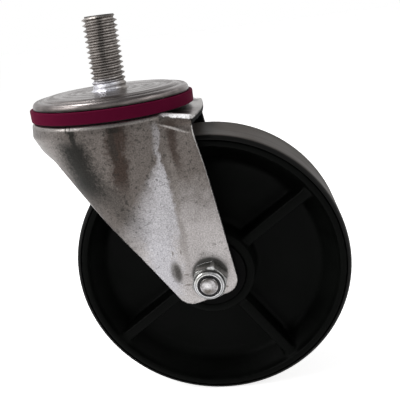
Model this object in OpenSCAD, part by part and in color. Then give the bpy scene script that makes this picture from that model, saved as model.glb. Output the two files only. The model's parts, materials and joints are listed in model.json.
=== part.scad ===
// Swivel castor with a threaded stem, a pressed-steel fork and a plain black plastic wheel.
// Millimetres. Origin: centre of the stem, on the seating face of the top disc.
// +Z runs up the stem, +X points back to the trailing wheel, and the axle nut is on the -Y side.

/* [Stem] */
// Outside diameter of the stem's thread
stem_d = 12; // [8:1:16]
// Height of the stem above the seating face
stem_length = 25; // [15:1:60]
// Chamfer at the stem's free end
stem_chamfer = 0.9; // [0.3:0.1:1.5]
// Diameter of the plain neck below the thread
neck_d = 10.8; // [8:0.1:11.8]
// Height of the plain neck, from the seating face
neck_length = 3.6; // [2:0.1:8]
// Diameter of the rolled collar at the stem's foot
collar_d = 13.4; // [12.6:0.1:20]
// Height of the rolled collar
collar_h = 0.9; // [0.6:0.1:1.8]

/* [Swivel head] */
// How far the collar is let into the top disc
collar_seat = 0.3; // [0.1:0.1:0.6]
// How far the top disc's edge stays inside the fork's round crown
disc_inset = 0.7; // [0.5:0.1:3]
// Width of the disc's stepped edge, outside its flat seating face
disc_brim = 5.2; // [4.2:0.1:10]
// Sheet thickness of the top disc
disc_sheet = 2.2; // [1.6:0.1:3]
// Height of the top disc with its turned-down rim
disc_height = 2.9; // [2.6:0.1:3.4]
// Depth from the seating face to the top of the fork's crown
head_depth = 7.5; // [7.2:0.1:10]
// Diameter of the swivel balls
ball_d = 4.76; // [4:0.01:5]
// How far the upper ball row lies inside the disc's edge
upper_row_inset = 6.7; // [5.9:0.1:9]
// How far the lower ball row lies outside the king pin's shoulder
lower_row_out = 4.5; // [4.2:0.1:5.5]
// Spacing of the balls, in ball diameters
ball_pitch = 1.15; // [1.1:0.01:1.6]
// Sheet thickness of the upper race
race_sheet = 1.2; // [1:0.1:1.6]
// Sheet thickness of the lower cup
cup_sheet = 1.8; // [1.2:0.1:2.4]
// How much wider in radius the coloured seal ring is than the crown
seal_proud = 0.55; // [0.1:0.05:0.6]
// Wall of the seal ring where it clasps the race
seal_wall = 1.3; // [0.8:0.1:2]
// Thickness of the seal ring over the race's wall
seal_cap = 1.1; // [0.6:0.1:1.4]
// Gap between the disc's rim and the seal ring
rim_gap = 0.3; // [0.2:0.1:0.5]
// Gap between the seal ring and the crown
seal_lift = 0.4; // [0.2:0.1:1.2]
// Diameter of the king pin's bearing shoulder
king_d = 16; // [15:0.5:17]
// Diameter of the king pin's riveted head
rivet_d = 17; // [14:0.5:20]
// Height of the king pin's riveted head
rivet_h = 2.2; // [1.5:0.1:2.6]

/* [Fork] */
// Sheet thickness of the fork
sheet = 2.5; // [2:0.1:3]
// Outside diameter of the fork's round crown
crown_d = 56.8; // [56:0.1:62]
// How far the nose flares out below the crown's top edge
nose_flare = 1.2; // [0:0.1:1.8]
// Radius of the crown's top edge round the nose
crown_round = 1.4; // [1:0.1:2.6]
// How much wider than the crown the bell is where it starts
bell_swell = 1.3; // [0.2:0.1:1.6]
// Depth below the crown's top at which the bell starts
bell_drop = 5.2; // [3:0.1:6]
// How far the bell's foot lies in front of the axle
bell_fore = 16.5; // [12:0.1:20]
// Depth of the closed front wall of the nose below the crown's top
nose_depth = 8; // [5:0.1:10]
// Distance from the swivel axis back to the axle
trail = 29.7; // [26:0.1:34]
// How far the wheel's top lies below the seating face
wheel_top = 17; // [16.5:0.5:30]
// How far the rear flanges stay inside the crown's radius
flange_inset = 6.4; // [4:0.1:8]
// How far the crown's rear edge stands behind its round front's radius
crown_rear = 1.7; // [0.5:0.1:4]
// How far the crown's rear edge bows out
crown_bow = 1.6; // [0.5:0.1:3]
// Drop of the crown's rear edge
crown_fall = 1.9; // [0.5:0.1:3]
// Radius of the fold between crown and leg
fold_r = 2.6; // [1:0.1:4]
// Depth below the crown's top at which the legs have come in to their straight width
waist_drop = 24; // [16:1:30]
// How far the leg's toe reaches forward of the axle
toe_fore = 9.7; // [8:0.1:14]
// How far the leg's toe reaches below the axle
toe_drop = 11.5; // [10:0.1:14]
// How far the leg's heel reaches behind the axle
heel_back = 10.3; // [8:0.1:14]
// How far the leg's heel reaches below the axle
heel_drop = 5.7; // [4:0.1:10]
// How far the leg's front edge bows out
front_bow = 1.35; // [0:0.05:3]
// Corner radius of the leg's toe and heel
foot_round = 5.8; // [3:0.1:8]
// Length of the pressed mark in front of the axle nut
mark_length = 8.5; // [4:0.5:10]
// Width of the pressed mark
mark_width = 3.4; // [2:0.1:5]
// Depth of the pressed mark
mark_depth = 0.45; // [0.2:0.05:0.8]

/* [Wheel] */
// Wheel diameter
wheel_d = 100; // [90:1:102]
// Wheel width
wheel_w = 28; // [24:0.5:34]
// Depth of the tread at the wheel's sides
tread_side = 1.6; // [1:0.1:3]
// Depth of the tread at the middle of its channel
tread_depth = 3.2; // [2.4:0.1:4]
// Radial width of the rim's side face, tread included
rim_side = 4.1; // [3.2:0.1:6]
// Thickness of the wheel's web
web_t = 8; // [5:0.5:12]
// Radial run of the dished wall between rim and web
dish_run = 4.8; // [3:0.1:8]
// Diameter of the hub boss
boss_d = 32; // [28:0.5:40]
// How far the hub boss stands out past the rim, each side
boss_proud = 1.1; // [0.3:0.1:2]
// Ribs on each side of the web
rib_count = 4; // [3:1:8]
// Thickness of a rib
rib_t = 4; // [2:0.5:6]
// How far a rib's top lies below the rim's side face
rib_sink = 1.8; // [0.5:0.1:4]
// Turn of the first rib from the rear, seen from the nut's side
rib_turn = 36; // [0:1:89]

/* [Axle and bearing] */
// Axle bolt diameter
bolt_d = 8; // [6:1:8]
// Width across flats of the axle nut and bolt head
flats = 12; // [11.5:0.5:14]
// Height of the axle nut with its collar
nut_h = 7.6; // [6:0.1:9]
// Height of the nut's hexagon
nut_hex_h = 5.6; // [4:0.1:5.8]
// Diameter of the nut's locking collar
nut_collar_d = 11; // [10.4:0.1:11.4]
// Turn of the nut about the axle
nut_turn = -7; // [-30:1:30]
// Height of the bolt head
head_h = 5.3; // [4:0.1:7]
// Bolt left standing past the nut
bolt_end = 0.5; // [0.2:0.1:3]
// Outside diameter of the axle sleeve
sleeve_d = 12; // [11:0.5:13]
// Diameter of the bearing rollers
roller_d = 4; // [3:0.1:4.4]
// Length of the bearing rollers
roller_length = 20; // [14:0.5:24]
// Number of bearing rollers
roller_count = 9; // [6:1:10]
// Thickness of the side washers
washer_t = 0.8; // [0.5:0.1:1.5]
// Diameter of the side washers
washer_d = 17; // [16:0.5:24]
// Diameter of the bearing caps
cap_d = 25; // [23:0.5:27]
// Thickness of the bearing caps
cap_t = 2; // [1:0.1:2.6]

/* [Hidden] */
$fn = 96;
// Clearance between faces that seat on each other, and between those that turn
seat_gap = 0.03;
run_gap = 0.08;
ball_gap = 0.05;
// A cut passes this far beyond what it cuts, or this far where it has to clear the whole fork
over = 1;
beyond = 2 * wheel_d;

stem_r = stem_d / 2;
axle_drop = wheel_top + wheel_d / 2;
collar_r = collar_d / 2;
crown_r = crown_d / 2;
crown_back = crown_r + crown_rear;
flange_half = crown_r - flange_inset;
disc_r = crown_r - disc_inset;
seal_r = crown_r + seal_proud;
crown_top = -head_depth;
crown_under = crown_top - sheet;
ball_r = ball_d / 2;
groove_r = ball_r + ball_gap;
upper_row_d = 2 * (disc_r - upper_row_inset);
lower_row_d = king_d + 2 * lower_row_out;
upper_count = floor(PI * upper_row_d / (ball_d * ball_pitch));
lower_count = floor(PI * lower_row_d / (ball_d * ball_pitch));
race_floor = crown_top + race_sheet;
upper_row_z = (race_floor - disc_sheet) / 2;
row_half = (race_floor + disc_sheet) / -2;
lower_row_z = crown_under - row_half;
cup_floor = lower_row_z - row_half;
cup_under = cup_floor - cup_sheet;
race_out = seal_r - seal_wall - seat_gap;
race_in = race_out - race_sheet;
seal_high = -disc_height - rim_gap;
race_top = seal_high - seal_cap;

hub_half = wheel_w / 2 + boss_proud;
leg_inner = hub_half + run_gap + washer_t;
leg_outer = leg_inner + sheet;
wheel_r = wheel_d / 2;
rim_r = wheel_r - tread_side;
dish_r = wheel_r - rim_side;
web_r = dish_r - dish_run;
rib_half = wheel_w / 2 - rib_sink;
tread_key = 2.6;
tip_r = bolt_d / 2 - 0.75;
cap_gap = 0.4;
roll_r = 1.2;
roller_row_r = sleeve_d / 2 + run_gap + roller_d / 2;
hub_bore_r = roller_row_r + roller_d / 2 + run_gap;

// Points of a circular arc
function arc(c, r, a, b, n) = [for (i = [0:n]) c + r * [cos(a + (b - a) * i / n), sin(a + (b - a) * i / n)]];

// An outline whose corners [x, y, radius] are each turned into an arc
function unit(v) = v / norm(v);
function corner_arc(p, q, s, r) =
    let (u = unit(p - q), v = unit(s - q))
    let (half = acos(u * v) / 2, mid = unit(u + v))
    let (c = q + mid * r / sin(half), side = sign(u[0] * v[1] - u[1] * v[0]))
    let (from = atan2(-mid[1], -mid[0]), spread = 90 - half, n = max(2, ceil(spread / 6)))
    [for (i = [-n:n]) c + r * [cos(from - side * spread * i / n), sin(from - side * spread * i / n)]];
function xy(p) = [p[0], p[1]];
function rounded(pts) =
    let (n = len(pts))
    [for (i = [0:n - 1])
        each (pts[i][2] == 0 ? [xy(pts[i])]
            : corner_arc(xy(pts[(i + n - 1) % n]), xy(pts[i]), xy(pts[(i + 1) % n]), pts[i][2]))];

// A flat outline in x and z, as a plate across the part's full width
module side_plate(half) {
    rotate([90, 0, 0])
        translate([0, 0, -half])
            linear_extrude(2 * half)
                children();
}

// Puts what is drawn along +Z on the axle, pointing to the nut's side
module on_axle() {
    translate([trail, 0, -axle_drop])
        rotate([90, 0, 0])
            children();
}

module ring(outer_d, inner_d, low, high) {
    translate([0, 0, low])
        difference() {
            cylinder(d = outer_d, h = high - low);
            translate([0, 0, -over])
                cylinder(d = inner_d, h = high - low + 2 * over);
        }
}

module ball_groove(row_d, z) {
    translate([0, 0, z])
        rotate_extrude()
            translate([row_d / 2, 0])
                circle(groove_r, $fn = 48);
}

module ball_row(row_d, z, count) {
    for (i = [0:count - 1])
        rotate([0, 0, 360 * i / count])
            translate([row_d / 2, 0, z])
                sphere(ball_r, $fn = 32);
}

// One turned piece: the threaded stem, its collar, the king pin and its riveted head
module threaded_stem() {
    king_r = king_d / 2;
    rivet_r = rivet_d / 2;
    neck_r = min(neck_d / 2, stem_r);
    rivet_low = cup_under - rivet_h;
    color("silver")
        rotate_extrude()
            polygon(concat(
                [[0, rivet_low]],
                arc([rivet_r * 0.6, cup_under - rivet_h * 0.2], rivet_h * 0.8, -90, -40, 5),
                [[rivet_r, cup_under - rivet_h * 0.35], [rivet_r, cup_under],
                [stem_r, cup_under], [stem_r, cup_floor],
                [king_r, cup_floor], [king_r, -disc_sheet - seat_gap],
                [stem_r, -disc_sheet - seat_gap], [stem_r, -collar_seat], [collar_r, -collar_seat],
                [collar_r, collar_h * 0.4], [collar_r - 0.5, collar_h * 0.55],
                [neck_r + 0.8, collar_h], [neck_r, collar_h + 0.8],
                [neck_r, neck_length], [stem_r, neck_length + 0.4],
                [stem_r, stem_length - stem_chamfer], [stem_r - stem_chamfer, stem_length],
                [0, stem_length]]));
}

// Pressed disc with a beaded shoulder, a turned-down rim and a ball groove underneath
module top_disc() {
    flat_r = disc_r - disc_brim;
    step_r = flat_r + 1.4;
    groove_z = -0.75;
    edge_r = 1.7;
    color("silver")
        difference() {
            rotate_extrude()
                polygon(concat(
                    [[stem_r + seat_gap, -collar_seat - seat_gap], [collar_r + seat_gap, -collar_seat - seat_gap],
                    [collar_r + seat_gap, 0], [flat_r, 0], [step_r, 0.6 * groove_z], [step_r + 0.5, groove_z]],
                    arc([disc_r - edge_r, groove_z + 0.05 - edge_r], edge_r, 90, 0, 8),
                    [[disc_r, -disc_height], [disc_r - 1.4, -disc_height], [disc_r - 2.2, -disc_sheet],
                    [stem_r + seat_gap, -disc_sheet]]));
            ball_groove(upper_row_d, upper_row_z);
        }
}

module upper_balls() {
    color("gainsboro")
        ball_row(upper_row_d, upper_row_z, upper_count);
}

// Pressed race that sits on the crown: a floor with the ball groove and an upright wall
module upper_race() {
    hole_r = king_d / 2 + 1.5;
    corner = 0.6;
    color("silver")
        difference() {
            rotate_extrude()
                polygon([[hole_r, crown_top], [race_out, crown_top], [race_out, race_top], [race_in, race_top],
                    [race_in, race_floor + corner], [race_in - corner, race_floor], [hole_r, race_floor]]);
            ball_groove(upper_row_d, upper_row_z);
        }
}

// Coloured plastic band that caps the race's wall, close under the disc's rim
module seal_ring() {
    seal_in = race_out + seat_gap;
    low = crown_top + seal_lift;
    round_r = 0.3;
    color("#511027")
        rotate_extrude()
            polygon(concat(
                [[seal_in, low]],
                arc([seal_r - round_r, low + round_r], round_r, -90, 0, 3),
                arc([seal_r - round_r, seal_high - round_r], round_r, 0, 90, 3),
                [[race_in, seal_high], [race_in, race_top + seat_gap], [seal_in, race_top + seat_gap]]));
}

// The fork's round crown and nose, offset inwards by the amount in
module crown_drum(in) {
    top = crown_top - in;
    foot = -beyond;
    flare_z = crown_top - nose_depth * 0.6;
    r = crown_r - in;
    shoulder = r + 0.6 * nose_flare;
    bend = max(crown_round - in, 0.4);
    rotate_extrude()
        polygon(concat(
            [[0, foot], [r + nose_flare, foot], [r + nose_flare, flare_z]],
            arc([shoulder - bend, top - bend], bend, 0, 90, 5),
            [[0, top]]));
}

// The leaning bell that leads the crown down into the legs, offset inwards by the amount in
module bell(in) {
    top_z = crown_top - bell_drop;
    top_r = crown_r + bell_swell;
    top_x = 0.2;
    foot_r = leg_outer - 1;
    foot_x = trail - bell_fore;
    depth = axle_drop + top_z;
    front_lean = atan((foot_x - foot_r + top_r - top_x) / depth);
    rear_lean = atan((foot_x + foot_r - top_r - top_x) / depth);
    half_angle = (front_lean - rear_lean) / 2;
    lean = (front_lean + rear_lean) / 2;
    apex_depth = 2 * top_r / (tan(front_lean) - tan(rear_lean));
    apex_x = top_x + top_r + apex_depth * tan(rear_lean);
    length = apex_depth + crown_r;
    translate([apex_x, 0, top_z - apex_depth])
        rotate([0, -lean, 0])
            translate([0, 0, in / sin(half_angle)])
                cylinder(r1 = 0, r2 = length * tan(half_angle), h = length, $fn = 128);
}

// The straight channel of the two legs with its folds at the crown, offset inwards by in
module leg_channel(in) {
    top = crown_top - in;
    half = leg_outer - in;
    wide = flange_half - in;
    bend = max(fold_r - in, 0.3);
    flare_r = 8;
    waist_r = 40;
    rotate([90, 0, 90])
        linear_extrude(2 * crown_back)
            polygon(rounded([[-half, -beyond, 0], [half, -beyond, 0],
                [half, top - waist_drop, waist_r], [wide, top - bell_drop, flare_r], [wide, top, bend],
                [-wide, top, bend], [-wide, top - bell_drop, flare_r], [-half, top - waist_drop, waist_r]]));
}

// Everything inside the sheet's outer skin, or inside its inner skin
module fork_form(in) {
    union() {
        intersection() {
            crown_drum(in);
            bell(in);
        }
        leg_channel(in);
    }
}

// Side view of the sheet: nose, straight front edge, toe, heel and rear edge
module fork_outline() {
    above = crown_top + 2 * fold_r;
    nose_x = -crown_r - nose_flare;
    nose_z = crown_top - nose_depth;
    toe = [trail - toe_fore, -axle_drop - toe_drop];
    chin = [nose_x + 10.4, nose_z - 4];
    bow_share = 0.42;
    bow_r = 60;
    front = chin + bow_share * (toe - chin) - [front_bow, 0];
    polygon(rounded([[nose_x - over, above, 0], [nose_x - over, nose_z, 0], [nose_x + 1.3, nose_z, 4],
        [chin[0], chin[1], 8], [front[0], front[1], bow_r], [toe[0], toe[1], foot_round],
        [trail + heel_back, -axle_drop - heel_drop, foot_round], [crown_back + 1.9, crown_top - 17.5, 30],
        [crown_back - 0.1, crown_top - nose_depth, 15], [crown_back - 1, above, 0]]));
}

// Side view of the crown's sheet and all that lies on one side of it: the crown falls towards its rear edge
module crown_side(face, far) {
    fall_from = crown_back - 10;
    rear = crown_back + crown_bow;
    slope = crown_fall / (rear - fall_from);
    polygon([[-beyond, face], [fall_from, face], [beyond, face - slope * (beyond - fall_from)],
        [beyond, far], [-beyond, far]]);
}

// Everything over the crown's top face
module above_crown() {
    side_plate(beyond)
        crown_side(crown_top, beyond);
}

// Everything under the crown's lower face
module below_crown() {
    side_plate(beyond)
        crown_side(crown_under, -2 * beyond);
}

// The crown's rear edge: part of the crown's sheet, bowed out behind the legs
module crown_plate() {
    bow_r = (pow(flange_half, 2) + pow(crown_bow, 2)) / (2 * crown_bow);
    difference() {
        intersection() {
            translate([crown_back + crown_bow - bow_r, 0, crown_under - 2 * sheet])
                cylinder(r = bow_r, h = 4 * sheet, $fn = 360);
            leg_channel(0);
        }
        below_crown();
    }
}

// Long shallow mark that the press leaves in the leg in front of the nut, as a thin slice of a big ring
module pressed_mark() {
    bar_r = (pow(mark_width / 2, 2) + pow(mark_depth, 2)) / (2 * mark_depth);
    run_r = (pow(mark_length / 2, 2) + pow(mark_depth, 2)) / (2 * mark_depth);
    translate([trail - 11.8, -leg_outer + mark_depth - run_r, -axle_drop + 2.6])
        rotate([0, 90, 0])
            rotate_extrude($fn = 180)
                translate([run_r - bar_r, 0])
                    circle(bar_r, $fn = 48);
}

// Pressed from one sheet: crown, closed nose and two legs
module fork() {
    color("silver")
        difference() {
            union() {
                intersection() {
                    difference() {
                        fork_form(0);
                        intersection() {
                            fork_form(sheet);
                            below_crown();
                        }
                    }
                    side_plate(beyond)
                        fork_outline();
                }
                crown_plate();
            }
            above_crown();
            pressed_mark();
            translate([0, 0, crown_under - over])
                cylinder(d = king_d + 2 * run_gap, h = sheet + 2 * over);
            ball_groove(lower_row_d, lower_row_z);
            on_axle()
                cylinder(d = bolt_d + 2 * run_gap, h = 4 * leg_outer, center = true);
        }
}

module lower_balls() {
    color("gainsboro")
        ball_row(lower_row_d, lower_row_z, lower_count);
}

// Dished cup that carries the lower balls and is held by the rivet
module lower_cup() {
    cup_r = lower_row_d / 2 + ball_r + 1.8;
    wall_in = cup_r - cup_sheet;
    rim_z = crown_under - 1;
    color("silver")
        difference() {
            rotate_extrude()
                polygon(concat(
                    [[stem_r + seat_gap, cup_under]],
                    arc([cup_r - 1.5, cup_under + 1.5], 1.5, -90, 0, 5),
                    [[cup_r, rim_z], [wall_in, rim_z], [wall_in, cup_floor + 0.6], [wall_in - 0.6, cup_floor],
                    [stem_r + seat_gap, cup_floor]]));
            ball_groove(lower_row_d, lower_row_z);
        }
}

// Section of the wheel's core in radius and half width, from hub to rim
module core_section() {
    half = wheel_w / 2;
    web = web_t / 2;
    boss_r = boss_d / 2;
    channel_r = wheel_r - tread_depth;
    channel_half = half - tread_key;
    lead = 0.6;
    rim_lead = 1.6;
    hub_fillet = 2;
    dish_fillet = 5;
    face = concat(
        [[hub_bore_r, hub_half - cap_t], [cap_d / 2, hub_half - cap_t], [cap_d / 2, hub_half],
        [boss_r - lead, hub_half], [boss_r, hub_half - lead]],
        arc([boss_r + hub_fillet, web + hub_fillet], hub_fillet, 180, 270, 4),
        arc([web_r - 0.8 * dish_fillet, web + dish_fillet], dish_fillet, -90, -25, 6),
        [[dish_r - 0.4, half - rim_lead], [dish_r, half], [rim_r - 0.2, half],
        [rim_r, half - 0.2], [rim_r, channel_half], [channel_r, channel_half]]);
    polygon(concat(face, [for (i = [len(face) - 1:-1:0]) [face[i][0], -face[i][1]]]));
}

// Moulded wheel: hub, dished web with ribs on both sides, and rim
module wheel_core() {
    root = 1.5;
    rib_from = boss_d / 2 - root;
    rib_to = dish_r - root / 2;
    color("#121310")
        on_axle()
            union() {
                rotate_extrude($fn = 180)
                    core_section();
                for (i = [0:rib_count - 1])
                    rotate([0, 0, rib_turn + 360 * i / rib_count])
                        translate([rib_from, -rib_t / 2, -rib_half])
                            cube([rib_to - rib_from, rib_t, 2 * rib_half]);
            }
}

// Tread band with rounded shoulders, keyed into the rim's channel
module tread() {
    half = wheel_w / 2;
    key_r = wheel_r - tread_depth + seat_gap;
    key_half = half - tread_key - seat_gap;
    side_r = rim_r + seat_gap;
    crown_in = 2.4;
    steps = 8;
    shoulder = [for (i = [0:steps], a = 90 * i / steps)
        [side_r + (wheel_r - side_r) * sin(a), half - crown_in * (1 - cos(a))]];
    edge = concat([[key_r, key_half], [side_r, key_half]], shoulder);
    color("#3b3734")
        on_axle()
            rotate_extrude($fn = 180)
                polygon(concat(edge, [for (i = [len(edge) - 1:-1:0]) [edge[i][0], -edge[i][1]]]));
}

module roller_set(r, length) {
    for (i = [0:roller_count - 1])
        rotate([0, 0, 360 * i / roller_count])
            translate([roller_row_r, 0, -length / 2])
                cylinder(r = r, h = length, $fn = 48);
}

// Plastic cage that keeps the rollers apart
module bearing_cage() {
    wall = 1.3;
    half = hub_half - cap_t - 0.3;
    color("ivory")
        on_axle()
            difference() {
                ring(2 * roller_row_r + wall, 2 * roller_row_r - wall, -half, half);
                roller_set(roller_d / 2 + 0.15, roller_length + 0.3);
            }
}

module bearing_rollers() {
    color("gainsboro")
        on_axle()
            roller_set(roller_d / 2, roller_length);
}

// Ring pressed into the mouth of the hub, on the side given by turn
module bearing_cap(turn) {
    color("#1b1b1a")
        on_axle()
            rotate([turn, 0, 0])
                ring(cap_d - 2 * seat_gap, sleeve_d + 2 * cap_gap, hub_half - cap_t + seat_gap, hub_half);
}

module bearing_cap_near() {
    bearing_cap(0);
}

module bearing_cap_far() {
    bearing_cap(180);
}

// Tube round the bolt that keeps the legs apart and carries the rollers
module axle_sleeve() {
    color("silver")
        on_axle()
            ring(sleeve_d, bolt_d + 2 * run_gap, -leg_inner, leg_inner);
}

module side_washer(turn) {
    color("silver")
        on_axle()
            rotate([turn, 0, 0])
                ring(washer_d, sleeve_d + 2 * run_gap, leg_inner - washer_t, leg_inner);
}

module side_washer_near() {
    side_washer(0);
}

module side_washer_far() {
    side_washer(180);
}

// Hexagon with its corners chamfered at the upper end
module chamfered_hexagon(height) {
    corner_r = flats / sqrt(3);
    intersection() {
        cylinder(r = corner_r, h = height, $fn = 6);
        rotate_extrude()
            polygon([[0, 0], [corner_r + over, 0], [corner_r + over, height - 0.8],
                [flats / 2 - 0.1, height + 0.1], [0, height + 0.1]]);
    }
}

module axle_bolt() {
    far_end = leg_outer + nut_h + bolt_end;
    tip_from = leg_outer + nut_hex_h - seat_gap;
    lead = 0.4;
    bolt_r = bolt_d / 2;
    color("silver")
        on_axle()
            union() {
                rotate_extrude()
                    polygon([[0, -leg_outer - over], [bolt_r, -leg_outer - over], [bolt_r, tip_from],
                        [tip_r, tip_from], [tip_r, far_end - lead], [tip_r - lead, far_end], [0, far_end]]);
                translate([0, 0, -leg_outer])
                    rotate([180, 0, 90 + nut_turn])
                        chamfered_hexagon(head_h);
            }
}

// Locking nut: chamfered hexagon with a rolled collar round the plastic insert
module axle_nut() {
    rolled_r = nut_collar_d / 2;
    color("gainsboro")
        on_axle()
            rotate([0, 0, 90 + nut_turn])
                translate([0, 0, leg_outer])
                    difference() {
                        union() {
                            chamfered_hexagon(nut_hex_h);
                            rotate_extrude()
                                polygon(concat([[0, nut_hex_h - 0.5], [rolled_r, nut_hex_h - 0.5]],
                                    arc([rolled_r - roll_r, nut_h - roll_r], roll_r, 0, 90, 5),
                                    [[0, nut_h]]));
                        }
                        translate([0, 0, -over])
                            cylinder(r = bolt_d / 2 + seat_gap, h = nut_h + 2 * over);
                    }
}

module nut_insert() {
    color("#1a1a1c")
        on_axle()
            ring(bolt_d, 2 * (tip_r + seat_gap), leg_outer + nut_hex_h, leg_outer + nut_h - 0.4);
}

threaded_stem();
top_disc();
upper_balls();
upper_race();
seal_ring();
fork();
lower_balls();
lower_cup();
wheel_core();
tread();
bearing_cage();
bearing_rollers();
bearing_cap_near();
bearing_cap_far();
axle_sleeve();
side_washer_near();
side_washer_far();
axle_bolt();
axle_nut();
nut_insert();
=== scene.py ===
# %% [markdown]
# A swivel castor: a threaded stem, a pressed disc, a coloured seal ring, a zinc-plated fork
# and a black plastic wheel on a bolted axle. The measured model is loaded first and stays as
# it is. It carries the sizes and the joints, and Blender adds what the eye looks for: a cut
# thread, soft press folds, moulded edges, plating and wear. Everything is in metres, with the
# stem along Z, the wheel trailing towards +X and the axle nut on the -Y side.

# %% Load the measured castor
import json
from math import ceil, exp, hypot, pi, radians

import bmesh
import bpy
from mathutils import Matrix, Vector

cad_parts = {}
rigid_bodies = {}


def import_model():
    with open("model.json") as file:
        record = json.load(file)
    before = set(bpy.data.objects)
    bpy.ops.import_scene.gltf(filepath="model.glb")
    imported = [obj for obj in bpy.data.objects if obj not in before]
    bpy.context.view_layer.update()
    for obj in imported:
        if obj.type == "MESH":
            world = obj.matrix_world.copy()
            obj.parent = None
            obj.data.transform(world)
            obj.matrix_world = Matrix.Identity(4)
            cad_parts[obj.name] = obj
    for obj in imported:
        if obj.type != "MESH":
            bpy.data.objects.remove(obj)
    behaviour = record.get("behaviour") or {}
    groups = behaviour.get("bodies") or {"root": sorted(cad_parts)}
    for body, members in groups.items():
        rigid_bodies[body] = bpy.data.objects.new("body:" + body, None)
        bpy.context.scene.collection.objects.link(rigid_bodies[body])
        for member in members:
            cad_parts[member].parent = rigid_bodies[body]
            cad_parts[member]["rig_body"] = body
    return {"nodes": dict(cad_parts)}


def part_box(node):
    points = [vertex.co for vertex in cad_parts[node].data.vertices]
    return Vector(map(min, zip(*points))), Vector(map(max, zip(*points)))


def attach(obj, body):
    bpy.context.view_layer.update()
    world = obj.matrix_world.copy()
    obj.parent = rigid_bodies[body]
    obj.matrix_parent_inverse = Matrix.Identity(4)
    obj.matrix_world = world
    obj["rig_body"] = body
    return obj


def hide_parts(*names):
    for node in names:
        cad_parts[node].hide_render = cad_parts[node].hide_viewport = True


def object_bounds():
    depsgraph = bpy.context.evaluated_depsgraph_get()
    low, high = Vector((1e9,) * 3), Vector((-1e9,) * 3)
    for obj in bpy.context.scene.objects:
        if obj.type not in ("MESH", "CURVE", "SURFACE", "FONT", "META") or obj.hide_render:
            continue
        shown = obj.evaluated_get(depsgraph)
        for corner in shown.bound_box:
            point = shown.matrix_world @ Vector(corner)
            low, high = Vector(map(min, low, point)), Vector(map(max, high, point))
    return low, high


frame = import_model()
cad_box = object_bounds()
nodes = frame["nodes"]
mm = 0.001
box_in_mm = [round(v / mm, 1) for v in (*cad_box[0], *cad_box[1])]
print("measured pieces:", len(nodes), "box in mm:", box_in_mm)

# %% [markdown]
# The camera stands where the photographer stood. A camera can be aimed by hand, or it can be
# built from the angles of the real view. The second way is used here, because the picture was
# held at a slight tilt, and three turns in a row describe that plainly: round the stem, down
# from level, and about the line of sight. The lens is given in pixels of a 400 pixel picture.

# %% Camera
picture = 400
around, above, tilt = radians(8.56), radians(19.03), radians(-7.49)
look_at = Vector((19.35, 0, -53.07)) * mm
distance = 225.8 * mm
lens_pixels = 594.9
centre_x, centre_y = 182.4, 225.0
sensor_width = 36

turn = (
    Matrix.Rotation(around, 4, "Z")
    @ Matrix.Rotation(pi / 2 - above, 4, "X")
    @ Matrix.Rotation(tilt, 4, "Z")
)
line_of_sight = turn @ Vector((0, 0, 1))
camera_data = bpy.data.cameras.new("camera")
camera_data.sensor_width = sensor_width
camera_data.lens = lens_pixels / picture * sensor_width
camera_data.shift_x = (picture / 2 - centre_x) / picture
camera_data.shift_y = (centre_y - picture / 2) / picture
camera = bpy.data.objects.new("camera", camera_data)
camera.matrix_world = Matrix.Translation(look_at + line_of_sight * distance) @ turn
bpy.context.scene.collection.objects.link(camera)
bpy.context.scene.camera = camera
bpy.context.scene.view_settings.view_transform = "Standard"
print("camera at", [round(v, 3) for v in camera.matrix_world.translation])

# %% [markdown]
# Room and materials are node trees. They could be clicked together by hand. Made by a few
# short helpers, they can be read from top to bottom and made again with other numbers.

# %% Helpers for node trees
def add(tree, kind, **settings):
    node = tree.nodes.new("ShaderNode" + kind)
    for key, value in settings.items():
        setattr(node, key, value)
    return node


def plug(tree, value, socket):
    """A link where value is a socket, and a plain value where it isn't."""
    if isinstance(value, bpy.types.NodeSocket):
        tree.links.new(value, socket)
    else:
        socket.default_value = value


def maths(tree, operation, a, b=0.0):
    node = add(tree, "Math", operation=operation)
    plug(tree, a, node.inputs[0])
    plug(tree, b, node.inputs[1])
    return node.outputs[0]


def times(tree, first, *others):
    for other in others:
        first = maths(tree, "MULTIPLY", first, other)
    return first


def remap(tree, value, low, high, to_low=0.0, to_high=1.0, smooth=True):
    """Takes a value from one range to another, with soft ends unless told otherwise."""
    node = add(tree, "MapRange", interpolation_type="SMOOTHSTEP" if smooth else "LINEAR")
    for socket, given in zip(node.inputs, (value, low, high, to_low, to_high)):
        plug(tree, given, socket)
    return node.outputs["Result"]


# %% [markdown]
# The castor stands on a plain pale floor. The picture's white ground comes from the floor and
# the world themselves: both glow a little for camera, mirror and see-through rays, while the
# light that falls on the castor stays at a plain level. So metal also mirrors a pale room, and
# the wheel still leaves its shadow.

# %% Floor and white ground
def white_to_the_eye(tree):
    """1 for rays from the camera, from mirrors and through glass, 0 for the light in the room."""
    path = add(tree, "LightPath")
    eye = path.outputs["Is Camera Ray"]
    for kind in ("Is Glossy Ray", "Is Transmission Ray"):
        eye = maths(tree, "MAXIMUM", eye, path.outputs[kind])
    return eye


floor_reach = 6.0
floor_glow = 0.76
floor_grey = (0.86, 0.86, 0.86, 1)
floor_shell = bmesh.new()
bmesh.ops.create_grid(floor_shell, x_segments=1, y_segments=1, size=floor_reach)
bmesh.ops.translate(floor_shell, verts=floor_shell.verts, vec=(0, 0, cad_box[0].z))
floor_mesh = bpy.data.meshes.new("floor")
floor_shell.to_mesh(floor_mesh)
floor_shell.free()
floor = bpy.data.objects.new("floor", floor_mesh)
bpy.context.scene.collection.objects.link(floor)

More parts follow.
